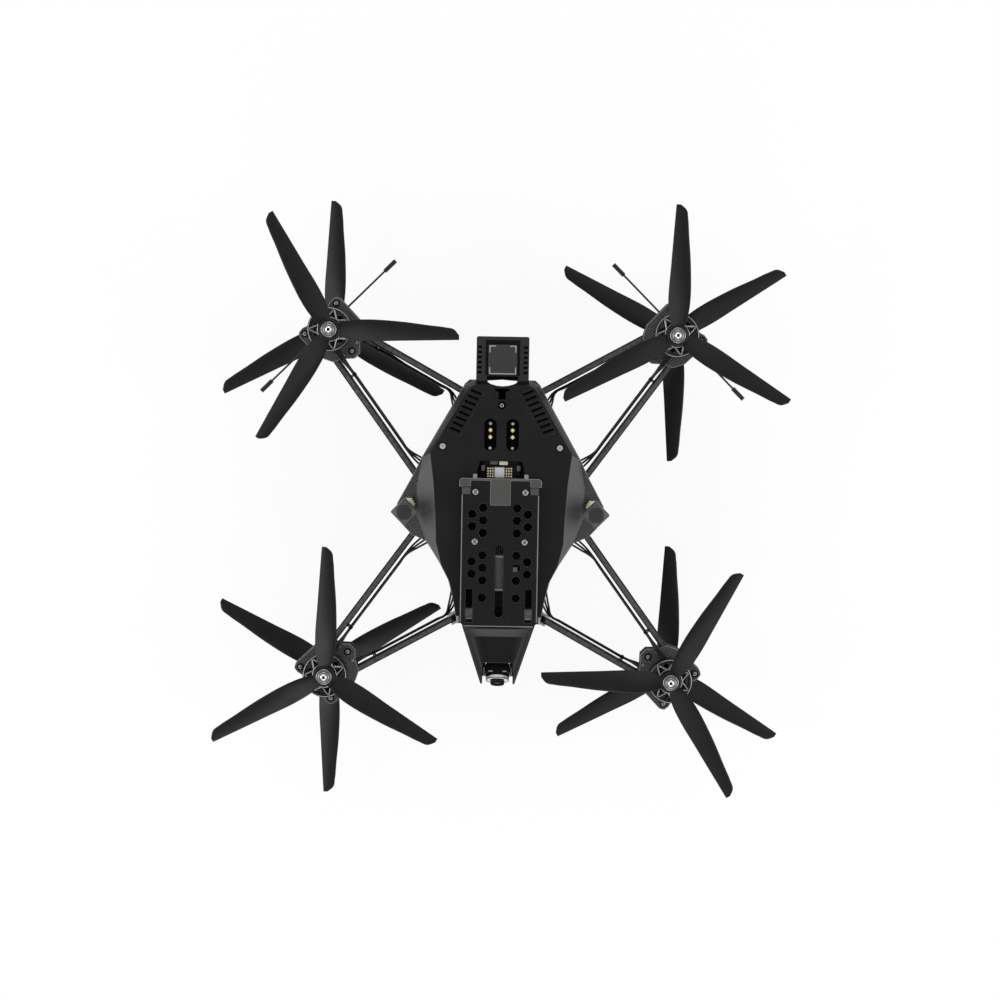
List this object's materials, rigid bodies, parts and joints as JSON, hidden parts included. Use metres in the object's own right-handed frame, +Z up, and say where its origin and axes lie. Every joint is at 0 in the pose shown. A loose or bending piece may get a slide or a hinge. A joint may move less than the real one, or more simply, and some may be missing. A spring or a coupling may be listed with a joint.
{
  "type": "octocopter drone",
  "caption": "Coaxial multicopter drone with paired motors on V-shaped plate arms, three-blade propellers, a vented hull shell, a perforated battery plate and a tilting nose camera.",
  "frame": {"origin": "on the ground, below the middle of the four motor axes", "axes": "+Z up, -Y towards the nose, +X to the pilot's left"},
  "size_m": [0.4502, 0.4758, 0.1049],
  "materials": {
    "carbon": "satin",
    "moulded": "satin",
    "grey_rubber": "matte",
    "black_rubber": "matte",
    "bell_metal": "satin",
    "stator": "satin",
    "propeller": "satin",
    "camera_case": "satin",
    "circuit": "satin",
    "capacitor": "satin",
    "socket": "matte",
    "antenna": "satin",
    "beam_metal": "satin"
  },
  "bodies": {
    "airframe": {"arm_inner_front_left": "carbon", "arm_outer_front_left": "carbon", "mount_upper_front_left": "carbon", "mount_lower_front_left": "carbon", "stator_upper_front_left": "stator", "stator_lower_front_left": "stator", "arm_inner_front_right": "carbon", "arm_outer_front_right": "carbon", "mount_upper_front_right": "carbon", "mount_lower_front_right": "carbon", "stator_upper_front_right": "stator", "stator_lower_front_right": "stator", "arm_inner_rear_left": "carbon", "arm_outer_rear_left": "carbon", "mount_upper_rear_left": "carbon", "mount_lower_rear_left": "carbon", "stator_upper_rear_left": "stator", "stator_lower_rear_left": "stator", "arm_inner_rear_right": "carbon", "arm_outer_rear_right": "carbon", "mount_upper_rear_right": "carbon", "mount_lower_rear_right": "carbon", "stator_upper_rear_right": "stator", "stator_lower_rear_right": "stator", "bottom_plate": "carbon", "mid_plate": "carbon", "battery_plate": "carbon", "hull_shell": "moulded", "nose_shell": "moulded", "battery_stop": "grey_rubber", "tail_bracket": "black_rubber", "receiver_module": "socket", "power_board": "circuit", "capacitor": "capacitor", "power_socket_left": "socket", "power_socket_right": "socket", "video_antenna_left": "antenna", "video_antenna_right": "antenna", "dipole_antenna_rear_left": "antenna", "dipole_antenna_rear_right": "antenna", "landing_skid_left": "carbon", "landing_skid_right": "carbon", "cross_beam": "beam_metal"},
    "rotor_upper_front_left": {"bell_upper_front_left": "bell_metal", "propeller_upper_front_left": "propeller"},
    "rotor_lower_front_left": {"bell_lower_front_left": "bell_metal", "propeller_lower_front_left": "propeller"},
    "rotor_upper_front_right": {"bell_upper_front_right": "bell_metal", "propeller_upper_front_right": "propeller"},
    "rotor_lower_front_right": {"bell_lower_front_right": "bell_metal", "propeller_lower_front_right": "propeller"},
    "rotor_upper_rear_left": {"bell_upper_rear_left": "bell_metal", "propeller_upper_rear_left": "propeller"},
    "rotor_lower_rear_left": {"bell_lower_rear_left": "bell_metal", "propeller_lower_rear_left": "propeller"},
    "rotor_upper_rear_right": {"bell_upper_rear_right": "bell_metal", "propeller_upper_rear_right": "propeller"},
    "rotor_lower_rear_right": {"bell_lower_rear_right": "bell_metal", "propeller_lower_rear_right": "propeller"},
    "camera": {"camera": "camera_case"}
  },
  "joints": [
    {"name": "spin_upper_front_left", "type": "hinge", "parent": "airframe", "child": "rotor_upper_front_left", "pos_m": [0.136, -0.136, 0.0703], "axis": [0, 0, 1], "continuous": true},
    {"name": "spin_lower_front_left", "type": "hinge", "parent": "airframe", "child": "rotor_lower_front_left", "pos_m": [0.136, -0.136, 0.0507], "axis": [0, 0, 1], "continuous": true},
    {"name": "spin_upper_front_right", "type": "hinge", "parent": "airframe", "child": "rotor_upper_front_right", "pos_m": [-0.136, -0.136, 0.0703], "axis": [0, 0, 1], "continuous": true},
    {"name": "spin_lower_front_right", "type": "hinge", "parent": "airframe", "child": "rotor_lower_front_right", "pos_m": [-0.136, -0.136, 0.0507], "axis": [0, 0, 1], "continuous": true},
    {"name": "spin_upper_rear_left", "type": "hinge", "parent": "airframe", "child": "rotor_upper_rear_left", "pos_m": [0.136, 0.136, 0.0703], "axis": [0, 0, 1], "continuous": true},
    {"name": "spin_lower_rear_left", "type": "hinge", "parent": "airframe", "child": "rotor_lower_rear_left", "pos_m": [0.136, 0.136, 0.0507], "axis": [0, 0, 1], "continuous": true},
    {"name": "spin_upper_rear_right", "type": "hinge", "parent": "airframe", "child": "rotor_upper_rear_right", "pos_m": [-0.136, 0.136, 0.0703], "axis": [0, 0, 1], "continuous": true},
    {"name": "spin_lower_rear_right", "type": "hinge", "parent": "airframe", "child": "rotor_lower_rear_right", "pos_m": [-0.136, 0.136, 0.0507], "axis": [0, 0, 1], "continuous": true},
    {"name": "camera_tilt", "type": "hinge", "parent": "airframe", "child": "camera", "pos_m": [0, -0.131, 0.0715], "axis": [-1, 0, 0], "range_deg": [-25, 20]}
  ]
}
